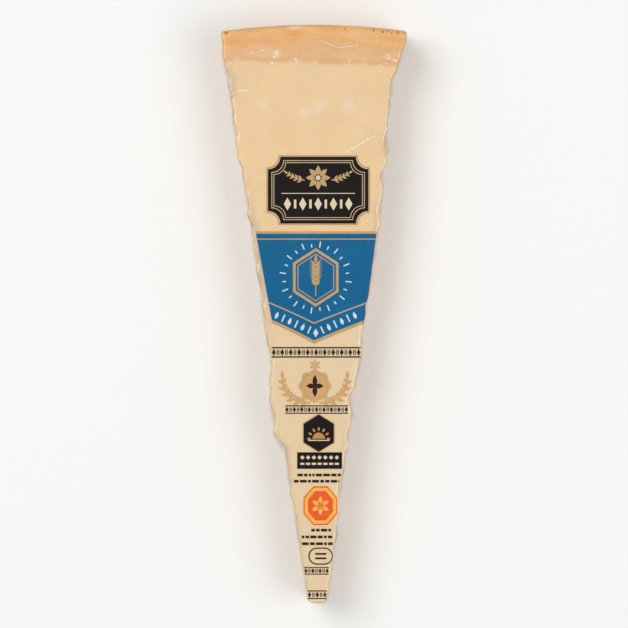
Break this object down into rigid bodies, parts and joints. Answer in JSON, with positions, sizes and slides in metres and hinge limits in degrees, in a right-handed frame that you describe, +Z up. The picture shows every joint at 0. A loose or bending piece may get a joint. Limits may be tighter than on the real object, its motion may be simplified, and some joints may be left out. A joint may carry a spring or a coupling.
{
  "type": "film-packed wedge of hard cheese",
  "caption": "Long thin wedge of hard grating cheese with its rind, sealed in tight clear film with a plain printed front, lying flat.",
  "frame": {"origin": "on the surface that the wedge lies on, under the middle of its box", "axes": "+Z up, out of the printed broad face; +Y along the wedge from its tip to its rind; +X to the right seen from above with the rind away from the viewer"},
  "size_m": [0.0634, 0.1966, 0.025],
  "materials": {
    "wrapped_cheese": "straw-coloured hard cheese under tight, clear, glossy film",
    "cheese": "straw-coloured, grainy hard cheese with a tan rind; a food, with matte plastic standing in",
    "film": "thin, clear, glossy packing film",
    "print": "smooth printing ink on the film"
  },
  "bodies": {
    "root": {"wrapped_wedge": "wrapped_cheese"}
  },
  "joints": []
}
